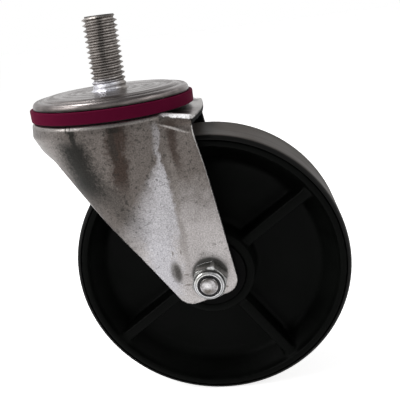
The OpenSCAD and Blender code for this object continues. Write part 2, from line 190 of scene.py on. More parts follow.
floor_paint = bpy.data.materials.new("pale_floor")
floor_paint.use_nodes = True
tree = floor_paint.node_tree
shader = tree.nodes["Principled BSDF"]
shader.inputs["Base Color"].default_value = floor_grey
shader.inputs["Roughness"].default_value = 0.9
shader.inputs["Specular IOR Level"].default_value = 0.1
shader.inputs["Emission Color"].default_value = (1, 1, 1, 1)
plug(tree, times(tree, white_to_the_eye(tree), floor_glow), shader.inputs["Emission Strength"])
floor_mesh.materials.append(floor_paint)
print("floor at", round(cad_box[0].z / mm, 1), "mm")

# %% [markdown]
# The room is pale all round and has a darker ceiling. Plated faces that look up mirror that
# ceiling, so they get the shading which a real room gives them.

# %% Pale room
room_light = 0.45
ceiling_starts, ceiling_ends = 0.5, 0.8
ceiling_light = 0.25
world = bpy.data.worlds.new("pale_room")
bpy.context.scene.world = world
world.use_nodes = True
tree = world.node_tree
sky = tree.nodes["Background"]
sky.inputs["Color"].default_value = (1, 1, 1, 1)
level = remap(tree, white_to_the_eye(tree), 0.0, 1.0, room_light, 1.0, smooth=False)
direction = add(tree, "SeparateXYZ")
plug(tree, add(tree, "TexCoord").outputs["Generated"], direction.inputs[0])
height = direction.outputs["Z"]
ceiling = remap(tree, height, ceiling_starts, ceiling_ends, 1.0, ceiling_light)
plug(tree, times(tree, level, ceiling), sky.inputs["Strength"])
print("room light", room_light)

# %% [markdown]
# Three soft lamps, as in a small product studio: a wide one in front and to the left, a weaker
# one to the right that draws the bright edges of the metal, and one above. Big lamps near the
# object give the long soft highlights that plated sheet needs. Small far ones would give hard
# dots.

# %% Lamps
def soft_lamp(name, place, target, width, height, power):
    data = bpy.data.lights.new(name, "AREA")
    data.shape = "RECTANGLE"
    data.size, data.size_y, data.energy = width, height, power
    lamp = bpy.data.objects.new(name, data)
    place, target = Vector(place), Vector(target)
    aim = (target - place).to_track_quat("-Z", "Y").to_matrix().to_4x4()
    lamp.matrix_world = Matrix.Translation(place) @ aim
    bpy.context.scene.collection.objects.link(lamp)
    return lamp


wheel_low, wheel_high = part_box("wheel_core")
axle = (wheel_low + wheel_high) / 2
lamps = [
    soft_lamp("left_lamp", (-0.6, -0.35, 0.4), axle, 0.3, 0.4, 3.0),
    soft_lamp("right_lamp", (0.6, -0.2, 0.3), axle, 0.25, 0.4, 0.7),
    soft_lamp("top_lamp", (-0.3, 0.05, 0.6), axle, 0.2, 0.2, 3.2),
]
print("lamps:", {lamp.name: round(lamp.data.energy, 1) for lamp in lamps})

# %% [markdown]
# Most pieces of the measured model keep their shape, and a few are made again because the eye
# would miss something in them. Each new piece becomes one object at the origin, with its place
# in its mesh. It rides on the body of the piece that it stands for.

# %% One way to finish a new piece
def finish_piece(shape, name, node, smooth_up_to):
    """Turns a bmesh into the object that stands for a measured node."""
    bmesh.ops.remove_doubles(shape, verts=shape.verts, dist=0.0002 * mm)
    bmesh.ops.recalc_face_normals(shape, faces=shape.faces)
    mesh = bpy.data.meshes.new(name)
    shape.to_mesh(mesh)
    shape.free()
    mesh.shade_smooth()
    mesh.set_sharp_from_angle(angle=radians(smooth_up_to))
    piece = bpy.data.objects.new(name, mesh)
    bpy.context.scene.collection.objects.link(piece)
    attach(piece, nodes[node]["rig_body"])
    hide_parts(node)
    triangles = sum(len(p.vertices) - 2 for p in mesh.polygons)
    print(name, "stands for", node, "with", triangles, "triangles")
    return piece


# %% [markdown]
# The stem's thread is a metric coarse thread, rolled into the steel. A thread could be faked
# with a bump, but then its outline would be a straight line, and the outline is what shows it
# against white. A spin that also climbs draws a true thread: the outline of one turn, a flat
# crest and two 60 degree flanks, goes round the stem and rises by one pitch a turn.

# %% Thread of the stem
pitch = 1.75 * mm
stem_low, stem_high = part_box("threaded_stem")
stem_top = stem_high.z
thread_r = 6.0 * mm
thread_depth = 0.6134 * pitch
root_r = thread_r - thread_depth
neck_top = 1.0 * mm
steps_a_turn = 96

turn_outline = [
    (root_r, 0), (root_r, pitch * 0.125), (thread_r, pitch * 0.4375),
    (thread_r, pitch * 0.5625), (root_r, pitch * 0.875), (root_r, pitch),
]
turns = ceil((stem_top - neck_top) / pitch) + 3
stem = bmesh.new()
start = neck_top - 2 * pitch
outline = [stem.verts.new((r, 0, start + z)) for r, z in turn_outline]
edges = [stem.edges.new(pair) for pair in zip(outline, outline[1:])]
bmesh.ops.spin(
    stem, geom=outline + edges, cent=(0, 0, 0), axis=(0, 0, 1), angle=2 * pi * turns,
    dvec=(0, 0, pitch / steps_a_turn), steps=steps_a_turn * turns, use_merge=False,
)
bmesh.ops.remove_doubles(stem, verts=stem.verts, dist=0.001 * mm)
print("thread:", turns, "turns,", len(stem.faces), "faces")

# %% [markdown]
# A real thread doesn't end full size. At the stem's foot the rolling dies lift off and its
# grooves get shallower, so a point may not lie deeper than a floor that rises towards the disc.
# At the free end the chamfer cuts the last turn away, which is a limit on how far out a point
# may lie. Then two flat cuts give clean round mouths.

# %% Thread ends
neck_r = 5.8 * mm
neck_end = neck_top + 0.4 * mm
fade_end = 4.4 * mm
chamfer_start = stem_top - 0.9 * mm
chamfer_slope, neck_slope = 1.1, 0.4

for v in stem.verts:
    r = hypot(v.co.x, v.co.y)
    run_out = max(0, min(1, (fade_end - v.co.z) / (fade_end - neck_end)))
    groove_floor = root_r + (neck_r - root_r) * run_out
    tip_limit = thread_r - max(0, v.co.z - chamfer_start) * chamfer_slope
    neck_limit = neck_r + max(0, v.co.z - neck_end) * neck_slope
    wanted = max(min(r, tip_limit, neck_limit), groove_floor)
    v.co.x, v.co.y = v.co.x * wanted / r, v.co.y * wanted / r
for height, keep_above in ((neck_top, True), (stem_top, False)):
    bmesh.ops.bisect_plane(
        stem, geom=stem.verts[:] + stem.edges[:] + stem.faces[:], dist=0.0001 * mm,
        plane_co=(0, 0, height), plane_no=(0, 0, 1),
        clear_inner=keep_above, clear_outer=not keep_above,
    )
open_edges = [e for e in stem.edges if e.is_boundary]
top_mouth = [e for e in open_edges if e.verts[0].co.z > stem_top - 0.1 * mm]
low_mouth = [e for e in open_edges if e.verts[0].co.z < neck_top + 0.1 * mm]
bmesh.ops.contextual_create(stem, geom=top_mouth)
print("mouths:", len(top_mouth), "and", len(low_mouth), "edges")

# %% [markdown]
# Below the thread the stem is turned: a plain neck, a collar that flares onto the disc, and
# hidden in the head the king pin with its shoulder and its riveted end. Each ring is extruded
# from the last one, like a wood turner's profile, starting at the thread's lower mouth.

# %% Neck, collar and king pin
pin_foot = stem_low.z / mm
# Radius and height of each ring, in mm: flare, seat in the disc, shoulder, rivet
rings = [
    (5.8, 0.9), (5.84, 0.75), (5.93, 0.55), (6.08, 0.36), (6.28, 0.2), (6.5, 0.09), (6.68, 0.04),
    (6.7, 0), (6.7, -0.3), (6.0, -0.3), (6.0, -2.23), (8.0, -2.23), (8.0, pin_foot + 4.0),
    (6.0, pin_foot + 4.0), (6.0, pin_foot + 2.2), (8.5, pin_foot + 2.2), (8.5, pin_foot + 1.4),
    (7.6, pin_foot + 0.6), (5.1, pin_foot), (1.0, pin_foot),
]
mouth = low_mouth
for r, z in rings:
    made = bmesh.ops.extrude_edge_only(stem, edges=mouth)["geom"]
    for v in (g for g in made if isinstance(g, bmesh.types.BMVert)):
        grow = r * mm / hypot(v.co.x, v.co.y)
        v.co = (v.co.x * grow, v.co.y * grow, z * mm)
    mouth = [g for g in made if isinstance(g, bmesh.types.BMEdge)]
bmesh.ops.contextual_create(stem, geom=mouth)
stem_piece = finish_piece(stem, "stem_with_thread", "threaded_stem", 32)

# %% [markdown]
# Pressed and moulded pieces have no sharp creases, and the measured model meets its surfaces
# at crisp lines. Sculpting by hand would soften them, and so does this: a fine voxel remesh of
# a copy gives an even skin, and a smoothing pass rounds every fold and edge by the same small
# amount, as a press or a mould does.

# %% One way to soften a measured piece
def soft_copy(name, node, voxel, passes, shape_more=None):
    """A merged copy of a measured node, remeshed evenly and smoothed."""
    merged = bmesh.new()
    merged.from_mesh(nodes[node].data)
    bmesh.ops.remove_doubles(merged, verts=merged.verts, dist=0.002 * mm)
    mesh = bpy.data.meshes.new(name)
    merged.to_mesh(mesh)
    merged.free()
    helper = bpy.data.objects.new(name + "_helper", mesh)
    bpy.context.scene.collection.objects.link(helper)
    remesh = helper.modifiers.new("even_skin", "REMESH")
    remesh.mode = "VOXEL"
    remesh.voxel_size = voxel
    graph = bpy.context.evaluated_depsgraph_get()
    even = bpy.data.meshes.new_from_object(helper.evaluated_get(graph))
    bpy.data.objects.remove(helper)
    soft = bmesh.new()
    soft.from_mesh(even)
    every_way = {"use_axis_x": True, "use_axis_y": True, "use_axis_z": True}
    for _ in range(passes):
        bmesh.ops.smooth_vert(soft, verts=soft.verts, factor=0.5, **every_way)
    if shape_more:
        shape_more(soft)
    return finish_piece(soft, name, node, 60)


# %% [markdown]
# The fork is pressed from one flat sheet: the bell that carries the balls runs softly into the
# flat legs. Under the rear fold the press leaves a shallow hollow with a slanting ridge in it.
# Both are drawn as bell curves that push the skin in and out, which needs no new edges. The
# hidden ball track gets back the depth that the smoothing took from it.

# %% Fork
def press_fork(soft):
    """Sinks and ridges the sheet under the rear fold, and deepens the ball track."""
    ridge_start, ridge_end = Vector((20.4, -10.9)) * mm, Vector((27.8, -13.8)) * mm
    ridge_height, ridge_width = 0.45 * mm, 0.9 * mm
    hollow_x, hollow_z, hollow_depth = 24.5 * mm, -12.2 * mm, 0.8 * mm
    hollow_length, hollow_width = 5.5 * mm, 1.7 * mm
    track_depth = 0.08 * mm
    run = ridge_end - ridge_start
    for v in soft.verts:
        x, y, z = v.co
        if 10 * mm < hypot(x, y) < 17 * mm and -10.4 * mm < z < -9.4 * mm:
            v.co.z += track_depth
        if x < 15 * mm or z < -18 * mm or z > -9 * mm or abs(y) < 20.7 * mm:
            continue
        point = Vector((x, z))
        share = max(0, min(1, (point - ridge_start).dot(run) / run.length_squared))
        off_ridge = (point - ridge_start - run * share).length / ridge_width
        off_hollow = hypot((x - hollow_x) / hollow_length, (z - hollow_z) / hollow_width)
        push = ridge_height * exp(-off_ridge ** 2) - hollow_depth * exp(-off_hollow ** 2)
        v.co.y += push if y > 0 else -push


fork_piece = soft_copy("fork_pressing", "fork", 0.5 * mm, 2, press_fork)

# %% [markdown]
# The wheel is moulded, so its ribs and rims have small round edges. The locking nut is cold
# formed: its corners are drawn in a little, and a spanner has left it at an odd angle. Both
# could be new models, but softened copies of the measured ones keep all their sizes.

# %% Wheel, nut and bolt
def tighten_nut(soft):
    """Gives the nut the photographed turn, and draws its corners in."""
    nut_turn = radians(10.5)
    corner_starts, drawn_in = 5.5 * mm, 0.35
    about_axle = Matrix.Rotation(nut_turn, 3, "Y")
    bmesh.ops.rotate(soft, verts=soft.verts, cent=axle, matrix=about_axle)
    for v in soft.verts:
        off = Vector((v.co.x - axle.x, 0, v.co.z - axle.z))
        if off.length > corner_starts:
            v.co -= off.normalized() * (off.length - corner_starts) * drawn_in


wheel_piece = soft_copy("wheel_moulding", "wheel_core", 0.7 * mm, 3)
nut_piece = soft_copy("locking_nut", "axle_nut", 0.16 * mm, 3, tighten_nut)
bolt_piece = soft_copy("axle_screw", "axle_bolt", 0.25 * mm, 2)

# %% [markdown]
# Materials are built from two kinds of parts. Effects that several finishes share, such as
# clouds of plating or streaks of tarnish, are node groups that are made once. The shader
# itself stays in each material. All patterns are fixed to the object, so they stay put from
# any side. These helpers add sums, noise and mixed colours to the ones above.

# %% Helpers for sums, noise and colours
def plus(tree, first, *others):
    for other in others:
        first = maths(tree, "ADD", first, other)
    return first


def less(tree, a, b):
    return maths(tree, "SUBTRACT", a, b)


def over(tree, a, b):
    return maths(tree, "DIVIDE", a, b)


def hypotenuse(tree, a, b):
    squares = [maths(tree, "POWER", side, 2.0) for side in (a, b)]
    return maths(tree, "SQRT", plus(tree, *squares))


def xyz(tree, vector):
    """The three parts of a vector."""
    split = add(tree, "SeparateXYZ")
    plug(tree, vector, split.inputs[0])
    return split.outputs


def noise(tree, where, scale, detail, roughness=0.55, stretch=None):
    """Cloudy noise from 0 to 1. A stretch below 1 draws it out along that axis."""
    if stretch:
        stretched = add(tree, "Mapping")
        plug(tree, stretch, stretched.inputs["Scale"])
        plug(tree, where, stretched.inputs["Vector"])
        where = stretched.outputs[0]
    node = add(tree, "TexNoise")
    settings = {"Vector": where, "Scale": scale, "Detail": detail, "Roughness": roughness}
    for label, value in settings.items():
        plug(tree, value, node.inputs[label])
    return node.outputs["Fac"]


def ragged(tree, where, amount, scale, detail, roughness=0.55):
    """Noise on both sides of zero, which makes a border uneven when it is added to a place."""
    both_sides = less(tree, noise(tree, where, scale, detail, roughness), 0.5)
    return times(tree, both_sides, amount)


def blend_colours(tree, mask, a, b):
    node = add(tree, "Mix", data_type="RGBA")
    plug(tree, mask, node.inputs["Factor"])
    for socket, given in ((node.inputs[6], a), (node.inputs[7], b)):
        plug(tree, given if isinstance(given, bpy.types.NodeSocket) else (*given, 1), socket)
    return node.outputs[2]


# %% [markdown]
# Zinc plating is never one grey. It clouds in patches of a few millimetres, and it is speckled
# by tiny crystals that also stand up a little. The group gives all three as numbers, and each
# metal mixes them in its own strength. A photograph of plating could be laid on instead, but
# it would repeat, and it would smear where the sheet bends.

# %% Plating group
def new_group(name, numbers, values_out):
    """An empty node group that takes a place and some numbers, and puts out values."""
    group = bpy.data.node_groups.new(name, "ShaderNodeTree")
    new_socket = group.interface.new_socket
    new_socket("Vector", in_out="INPUT", socket_type="NodeSocketVector")
    for label, usual in numbers.items():
        socket = new_socket(label, in_out="INPUT", socket_type="NodeSocketFloat")
        socket.default_value = usual
    for label in values_out:
        new_socket(label, in_out="OUTPUT", socket_type="NodeSocketFloat")
    into, out = group.nodes.new("NodeGroupInput"), group.nodes.new("NodeGroupOutput")
    return group, into.outputs, out.inputs


plating, into, out = new_group(
    "zinc_plating", {"Cloud scale": 90.0, "Speckle scale": 1500.0},
    ("Clouds", "Speckle", "Height"),
)
cloud_height = 0.4
clouds = noise(plating, into["Vector"], into["Cloud scale"], 4, 0.5)
speckle = noise(plating, into["Vector"], into["Speckle scale"], 2, 0.5)
plug(plating, remap(plating, clouds, 0.36, 0.64), out["Clouds"])
plug(plating, remap(plating, speckle, 0.3, 0.7, smooth=False), out["Speckle"])
plug(plating, plus(plating, times(plating, clouds, cloud_height), speckle), out["Height"])
print("group", plating.name, "with", len(plating.nodes), "nodes")

# %% [markdown]
# A streak is a soft vertical band, of tarnish and, on the fork, of painted dark and light
# reflections. The group measures how far a point is from the band's middle, which may lean with
# height, and fades the band out at both ends. Two noises, one slow and one fine, keep its border
# from being a ruled line.

# %% Streak group
streak, into, out = new_group(
    "tarnish_and_reflection_streak",
    {"Middle": 0.0, "Lean": 0.0, "Half width": 0.003, "Top": 0.0, "Bottom": -0.02, "Fade": 0.006},
    ("Mask",),
)
full_within, gone_beyond = 0.3, 1.25
x, _, z = xyz(streak, into["Vector"])
wobble = ragged(streak, into["Vector"], 4 * mm, 130, 2)
fray = ragged(streak, into["Vector"], 1.6, 900, 3, 0.7)
above_top = less(streak, z, into["Top"])
above_bottom = less(streak, z, into["Bottom"])
middle = plus(streak, into["Middle"], times(streak, above_top, into["Lean"]))
off = maths(streak, "ABSOLUTE", plus(streak, less(streak, x, middle), wobble))
share = plus(streak, over(streak, off, into["Half width"]), fray)
across = remap(streak, share, full_within, gone_beyond, 1.0, 0.0)
low_end = remap(streak, over(streak, above_bottom, into["Fade"]), -1.0, 1.0)
top_end = remap(streak, over(streak, above_top, into["Fade"]), 0.0, 1.0, 1.0, 0.0)
plug(streak, times(streak, across, low_end, top_end), out["Mask"])
print("group", streak.name, "with", len(streak.nodes), "nodes")

# %% [markdown]
# Marks, lighter places, painted highlights and painted shade, such as the nut's shadow on the
# fork, are soft spots. The spot group is an ellipse in the side view, seen from the nut's side,
# that may lean. It can be kept off the far side.

# %% Spot group
spot, into, out = new_group(
    "soft_spot",
    {
        "Centre x": 0.0, "Centre z": 0.0, "Half width": 0.003, "Half height": 0.003,
        "Lean": 0.0, "Soft": 0.5, "Far side": 1.0,
    },
    ("Mask",),
)
x, y, z = xyz(spot, into["Vector"])
up = less(spot, z, into["Centre z"])
along = less(spot, less(spot, x, into["Centre x"]), times(spot, up, into["Lean"]))
wide = maths(spot, "ABSOLUTE", over(spot, along, into["Half width"]))
tall = maths(spot, "ABSOLUTE", over(spot, up, into["Half height"]))
soft_from, soft_to = less(spot, 1.0, into["Soft"]), plus(spot, 1.0, into["Soft"])
inside = remap(spot, hypotenuse(spot, wide, tall), soft_from, soft_to, 1.0, 0.0)
near_side = remap(spot, y, -1 * mm, 1 * mm, 1.0, into["Far side"])
plug(spot, times(spot, inside, near_side), out["Mask"])
print("group", spot.name, "with", len(spot.nodes), "nodes")

# %% [markdown]
# Painted light and shade depend on the way a surface looks. The facing group tells it from the
# surface's direction: up, where light is painted because the light falls there, inwards, where
# shade is painted inside the fork, or sideways round the axle, as a nut's six flats look, where
# a darker reflection is painted. Each part of that direction is 1 where the surface looks
# straight that way, and the limits below lie between 0 and 1.

# %% Facing group
facing, into, out = new_group("facing", {}, ("Up", "Inwards", "Sideways"))
_, y, _ = xyz(facing, into["Vector"])
_, to_y, to_z = xyz(facing, add(facing, "TexCoord").outputs["Normal"])
outwards = times(facing, to_y, maths(facing, "SIGN", y))
either_way = maths(facing, "ABSOLUTE", outwards)
plug(facing, remap(facing, to_z, 0.45, 0.8), out["Up"])
plug(facing, remap(facing, outwards, -0.6, -0.2, 1.0, 0.0), out["Inwards"])
plug(facing, remap(facing, either_way, 0.25, 0.6, 1.0, 0.0), out["Sideways"])
print("group", facing.name, "with", len(facing.nodes), "nodes")

# %% [markdown]
# Dirt, wear, painted shade and painted highlights are laid on as zones. A zone is a mask, a
# strength and a tone, and each zone covers the ones before it, as a painter's layers do. A mask
# is a function, because it has to draw its nodes afresh in every material. The three simplest
# come straight from the groups.

# %% Zones
def place_group(tree, group, where, **numbers):
    """Puts a group into a tree. An underscore stands for the space in an input's name."""
    node = add(tree, "Group", node_tree=group)
    plug(tree, where, node.inputs["Vector"])
    for label, value in numbers.items():
        plug(tree, value, node.inputs[label.replace("_", " ")])
    return node.outputs


def band(middle, half_width, top, bottom, fade, lean=0.0):
    """A mask of one streak, in mm. It leans by so much sideways for each mm of height."""
    numbers = {
        "Middle": middle * mm, "Half_width": half_width * mm, "Top": top * mm,
        "Bottom": bottom * mm, "Fade": fade * mm, "Lean": lean,
    }
    return lambda tree, where: place_group(tree, streak, where, **numbers)["Mask"]


def patch(x, z, half_width, half_height, soft=0.5, lean=0.0, far_side=1.0, about=None):
    """A mask of one soft spot, in mm. Its centre may be counted from another place."""
    base_x, base_z = (about.x, about.z) if about else (0.0, 0.0)
    numbers = {
        "Centre_x": base_x + x * mm, "Centre_z": base_z + z * mm, "Soft": soft, "Lean": lean,
        "Half_width": half_width * mm, "Half_height": half_height * mm, "Far_side": far_side,
    }
    return lambda tree, where: place_group(tree, spot, where, **numbers)["Mask"]


def way(label):
    """A mask picked by the way the surface faces."""
    return lambda tree, where: place_group(tree, facing, where)[label]


def lay_zones(tree, where, colour, zones):
    for mask, strength, tone in zones:
        colour = blend_colours(tree, times(tree, mask(tree, where), strength), colour, tone)
    return colour


# %% [markdown]
# Zinc is laid on steel in a bath, about a hundredth of a millimetre thick. Its shader is a
# metal whose colour and gloss follow the plating group, with the speckles as a very low bump.
# Painted highlights and the deepest painted shade on it may not mirror: a matt mask takes the
# metal away there. On a piece pressed over a round die the clouds run in rings, so they are
# measured round the stem.

# %% Zinc plate
def new_finish(name):
    """A material with its tree, its shader and its own object coordinates."""
    material = bpy.data.materials.new(name)
    material.use_nodes = True
    tree = material.node_tree
    where = add(tree, "TexCoord").outputs["Object"]
    return material, tree, tree.nodes["Principled BSDF"], where


def bump(tree, shader, height, strength, distance):
    node = add(tree, "Bump")
    for label, value in (("Strength", strength), ("Distance", distance), ("Height", height)):
        plug(tree, value, node.inputs[label])
    plug(tree, node.outputs[0], shader.inputs["Normal"])


def round_the_stem(tree, where):
    """Places measured outwards and round the stem, which draws a pattern out into rings."""
    metres_a_radian = 0.0025
    x, y, _ = xyz(tree, where)
    turned = add(tree, "CombineXYZ")
    plug(tree, hypotenuse(tree, x, y), turned.inputs["X"])
    angle = maths(tree, "ARCTAN2", y, x)
    plug(tree, times(tree, angle, metres_a_radian), turned.inputs["Y"])
    return turned.outputs[0]


def plated(
    name, colours, cloud_scale, speckle_scale, rough=(0.28, 0.42), zones=(),
    in_rings=False, matt=None,
):
    """Zinc plate in a light and a mid tone, with zones over it."""
    dark_speckle, light_speckle = 0.72, 1.28
    matt_strength = 0.92
    bump_strength, bump_height = 0.25, 0.04 * mm
    material, tree, shader, where = new_finish(name)
    follow = round_the_stem(tree, where) if in_rings else where
    scales = {"Cloud_scale": cloud_scale, "Speckle_scale": speckle_scale}
    zinc = place_group(tree, plating, follow, **scales)
    light_tone, mid_tone = colours
    colour = blend_colours(tree, zinc["Clouds"], mid_tone, light_tone)
    colour = lay_zones(tree, where, colour, zones)
    grain = remap(tree, zinc["Speckle"], 0.0, 1.0, dark_speckle, light_speckle, smooth=False)
    tinted = add(tree, "VectorMath", operation="SCALE")
    plug(tree, colour, tinted.inputs[0])
    plug(tree, grain, tinted.inputs["Scale"])
    plug(tree, tinted.outputs[0], shader.inputs["Base Color"])
    smooth, coarse = rough
    gloss = remap(tree, zinc["Clouds"], 0.0, 1.0, coarse, smooth)
    plug(tree, gloss, shader.inputs["Roughness"])
    metal = less(tree, 1.0, times(tree, matt(tree, where), matt_strength)) if matt else 1.0
    plug(tree, metal, shader.inputs["Metallic"])
    shader.inputs["Specular IOR Level"].default_value = 0.0
    bump(tree, shader, zinc["Height"], bump_strength, bump_height)
    return material


# %% [markdown]
# Most places on a piece are told by their coordinates. The masks below share two helpers, so
# that each mask says little more than between which limits it lies.

# %% Helpers for masks
def within(tree, value, low, high, soft):
    """1 where a value lies between two limits, with soft ends."""
    over_low = remap(tree, value, low - soft, low + soft)
    under_high = remap(tree, value, high - soft, high + soft, 1.0, 0.0)
    return times(tree, over_low, under_high)


def spread(tree, where):
    """The coordinates x, |y| and z of a point, and its distance from the stem's axis."""
    x, y, z = xyz(tree, where)
    return x, maths(tree, "ABSOLUTE", y), z, hypotenuse(tree, x, y)


# %% [markdown]
# The fork's lower legs are clean pale zinc. Higher up the bell is painted darker, as a darker
# reflection, along a line that slants down towards the front edge, and it is mottled where the
# sheet was drawn hardest. Painting this by hand on the sheet would work for one picture. A level
# with noise in it gives the same ragged border on both legs and from every side.

# %% Painted dark reflection of the bell, and specks
def bell_dark_reflection(tree, where):
    """1 on the bell's painted dark reflection, 0 on the clean legs, with a ragged slanting
    border.
    """
    slant_starts, slant = 15 * mm, 1.2
    x, _, z = xyz(tree, where)
    forward = maths(tree, "MAXIMUM", less(tree, slant_starts, x), 0.0)
    uneven = ragged(tree, where, 20 * mm, 160, 4, 0.65)
    level = plus(tree, z, times(tree, forward, slant), uneven)
    return remap(tree, level, -52 * mm, -26 * mm)


def mottles(tree, where):
    """Small irregular dark spots on the bell, a few tenths of a millimetre across."""
    spots = remap(tree, noise(tree, where, 700, 3, 0.7), 0.545, 0.67)
    return times(tree, spots, bell_dark_reflection(tree, where))


def specks(tree, where):
    """Single dark specks of dirt on the clean feet, round the nut."""
    _, _, z = xyz(tree, where)
    low = remap(tree, z, -50 * mm, -56 * mm)
    return times(tree, remap(tree, noise(tree, where, 520, 3, 0.7), 0.62, 0.66), low)


# %% [markdown]
# Highlights are painted where the sheet bends: on the ridge beside the rear flange and on the
# fold over it. The ridge is a wedge that starts as a thin line under the crown. The fold falls
# to the rear, so its line is drawn along a slope.

# %% Painted highlights on the ridge and fold
def ridge_highlight(tree, where):
    """1 on the ridge's painted highlight by the rear flange, which widens downwards into the
    clean leg.
    """
    left_edge, left_slope = 16.8 * mm, 0.44
    right_edge, right_slope = 18.4 * mm, 0.13
    softness, softer = 0.9 * mm, 0.4
    wedge_starts = -23.5 * mm
    x, _, z = xyz(tree, where)
    x = plus(tree, x, ragged(tree, where, 5 * mm, 280, 4, 0.65))
    below = maths(tree, "MAXIMUM", less(tree, wedge_starts, z), 0.0)
    from_left = less(tree, x, less(tree, left_edge, times(tree, below, left_slope)))
    from_right = less(tree, plus(tree, right_edge, times(tree, below, right_slope)), x)
    soft = plus(tree, softness, times(tree, below, softer))
    left = remap(tree, from_left, times(tree, soft, -1.0), soft)
    right = remap(tree, from_right, -0.4 * mm, 0.6 * mm)
    top = remap(tree, z, -8.5 * mm, -12 * mm)
    foot = remap(tree, z, -56 * mm, -44 * mm)
    brighter_below = remap(tree, z, -14 * mm, -32 * mm, 0.5, 1.0)
    return times(tree, times(tree, left, right), times(tree, top, foot), brighter_below)


def fold_highlight(tree, where):
    """1 on the painted highlight of the fold between the crown's falling rear and the flange
    below.
    """
    fall_starts, slope = 20.1 * mm, 0.164
    x, off, z, _ = spread(tree, where)
    across = within(tree, off, 18.2 * mm, 22.4 * mm, 0.4 * mm)
    along = within(tree, x, 19.8 * mm, 29.6 * mm, 0.8 * mm)
    fall = times(tree, maths(tree, "MAXIMUM", less(tree, x, fall_starts), 0.0), slope)
    height = plus(tree, z, fall, ragged(tree, where, 1.2 * mm, 600, 2))
    on_top = remap(tree, height, -8.4 * mm, -8 * mm)
    return times(tree, times(tree, across, along), on_top)


# %% [markdown]
# A highlight is painted on the crown's rim under the seal, and the cut edges of the sheet are
# lighter. Shade is painted beside the seal, where the ring casts its shadow, and under the rear
# edge, where it is so dark that the metal no longer mirrors.

# %% Rim, edges and painted shade of the fork
def crown_rim_highlight(tree, where):
    """1 on the rounded rim of the crown under the seal, where a highlight is painted."""
    x, _, z, far_out = spread(tree, where)
    at_rim = remap(tree, far_out, 27.8 * mm, 28.4 * mm)
    height = within(tree, z, -8.9 * mm, -7 * mm, 0.3 * mm)
    return times(tree, at_rim, height, remap(tree, x, 12 * mm, 20 * mm, 1.0, 0.0))


def cut_edges(tree, where):
    """1 on the legs' cut edges, where the sheet's thickness shows."""
    x, off, z, _ = spread(tree, where)
    to_x, _, _ = xyz(tree, add(tree, "TexCoord").outputs["Normal"])
    looks_back = remap(tree, to_x, 0.5, 0.8)
    looks_ahead = remap(tree, to_x, -0.75, -0.5, 1.0, 0.0)
    rear = times(tree, looks_back, remap(tree, x, 28 * mm, 29 * mm))
    front = times(tree, looks_ahead, remap(tree, z, -30 * mm, -40 * mm))
    on_leg = remap(tree, off, 16.5 * mm, 17.2 * mm)
    return times(tree, maths(tree, "MAXIMUM", rear, front), on_leg)


def seal_shadow(tree, where):
    """1 on the crown's top beside the seal ring, where the ring's shadow is painted."""
    x, off, z, _ = spread(tree, where)
    across = within(tree, off, 12 * mm, 16.8 * mm, 0.4 * mm)
    along = within(tree, x, 15 * mm, 29.2 * mm, 0.6 * mm)
    return times(tree, times(tree, across, along), remap(tree, z, -10.2 * mm, -9.6 * mm))


def rear_edge_shade(tree, where):
    """1 on the lower half of the crown's rear edge, where black shade is painted."""
    x, _, z = xyz(tree, where)
    height = within(tree, z, -13.5 * mm, -9.9 * mm, 0.3 * mm)
    return times(tree, remap(tree, x, 29.6 * mm, 30 * mm), height)


def matt_places(tree, where):
    """1 where the fork doesn't mirror: the fold's painted highlight and the rear edge's painted
    shade.
    """
    return maths(tree, "MAXIMUM", fold_highlight(tree, where), rear_edge_shade(tree, where))


# %% [markdown]
# Now the fork's zones are laid on in order: first the bell's broad painted dark reflection with
# its streaks, then the small marks, then what covers everything, such as the painted shade
# inside. Each tone is a plain linear colour. The tones that come back have names.

# %% Zones of the fork
pale_zinc, mid_zinc = (0.322, 0.305, 0.302), (0.29, 0.272, 0.268)
reflected_dark, light = (0.098, 0.086, 0.079), (0.19, 0.172, 0.163)
brown, black = (0.034, 0.025, 0.021), (0.021, 0.02, 0.018)
dirt_and_dimple_shade = (0.09, 0.084, 0.078)

bell_zones = [
    # Bands of tarnish and of painted reflection: dark on the bell, light low on the leg and at
    # the nose
    (band(12.5, 6.5, -42, -76, 8, lean=-0.05), 0.8, (0.345, 0.34, 0.362)),
    # painted darker reflection on the upper bell
    (bell_dark_reflection, 1.0, reflected_dark),
    # painted highlight on the ridge beside the rear flange
    (ridge_highlight, 0.95, (0.33, 0.322, 0.335)),
    (band(-19.5, 8.5, -5, -20, 4), 0.7, light),
    (band(6, 3.4, -6, -31, 6, lean=0.05), 1.0, brown),
    (band(6.8, 4.4, -6, -17, 5), 0.9, brown),
    (band(4.6, 1.4, -8.5, -20, 4, lean=0.03), 0.6, black),
    (patch(5.8, -9.9, 2, 0.8, soft=0.6), 0.75, black),
    (band(-8, 1.3, -8.5, -22, 4, lean=0.02), 1.0, black),
    (band(-8.8, 6.9, -15.5, -34, 6, lean=-0.1), 1.0, (0.015, 0.0145, 0.013)),
    (band(-4, 5, -26, -46, 8, lean=-0.55), 0.4, black),
    (band(22.8, 2.4, -12.5, -26, 5), 0.85, brown),
    (band(21.2, 1.4, -22, -60, 6, lean=-0.02), 0.5, (0.15, 0.135, 0.125)),
    (mottles, 0.68, black),
    (specks, 0.5, dirt_and_dimple_shade),
]
